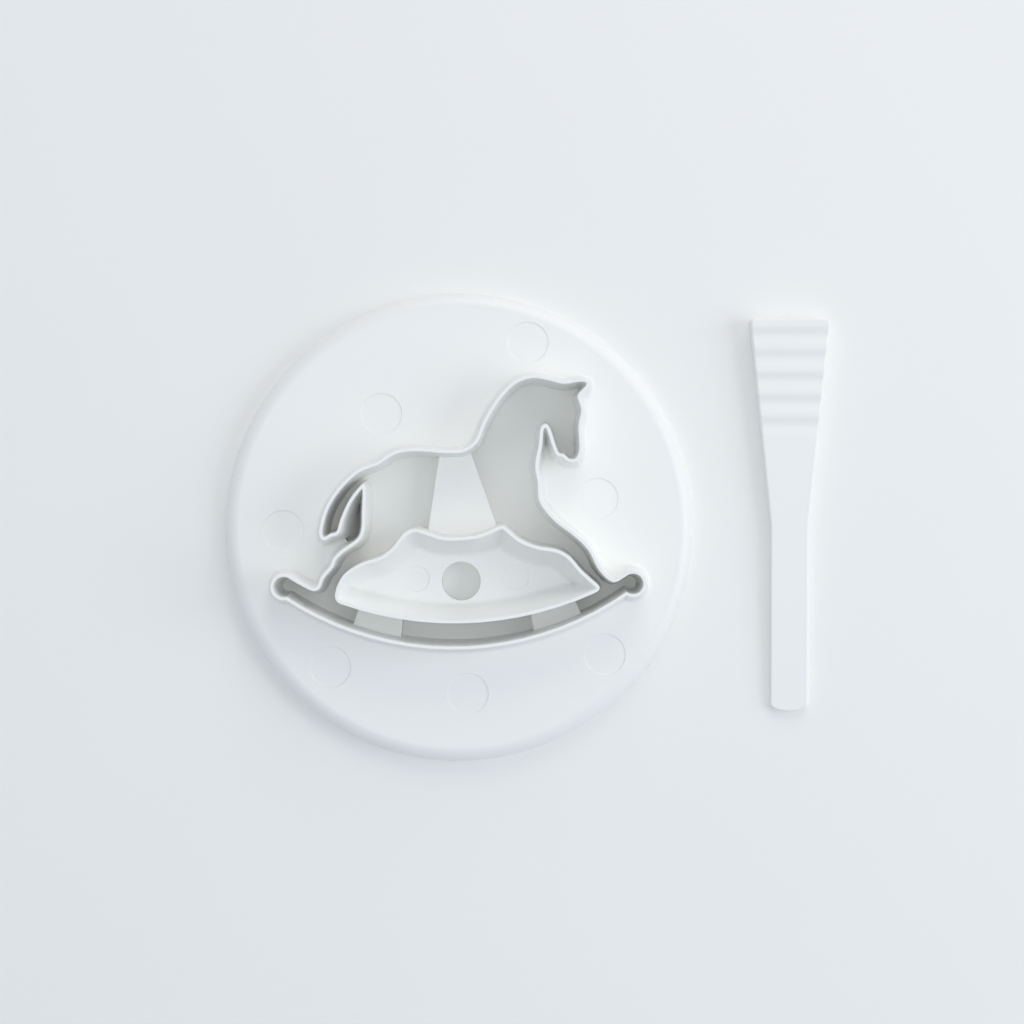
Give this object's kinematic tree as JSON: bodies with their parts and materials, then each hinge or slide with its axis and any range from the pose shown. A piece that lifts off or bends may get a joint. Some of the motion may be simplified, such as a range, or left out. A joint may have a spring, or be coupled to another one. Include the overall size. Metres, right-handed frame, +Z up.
{
  "type": "cookie cutter",
  "caption": "Round plastic cookie cutter with a rocking-horse cutting wall, a bridged inner saddle cutter with a push-out hole, and a loose grooved push-out stick.",
  "frame": {"origin": "centre of the round plate, on the flat underside that lies on the table", "axes": "+Z up out of the cutting rims, +X from the plate's centre towards the push-out stick, +Y towards the horse's back"},
  "size_m": [0.1162, 0.09, 0.0125],
  "materials": {
    "white_plastic": "smooth moulded white plastic, low gloss"
  },
  "bodies": {
    "cutter": {"base_disc": "white_plastic", "horse_wall": "white_plastic", "saddle_floor": "white_plastic", "saddle_wall": "white_plastic", "top_bridge": "white_plastic", "rear_bridge": "white_plastic", "front_bridge": "white_plastic"},
    "push_stick": {"push_stick": "white_plastic"}
  },
  "joints": [
    {"name": "stick_lift", "type": "slide", "parent": "cutter", "child": "push_stick", "axis": [0, 0, 1], "range_m": [0, 0.05]}
  ]
}
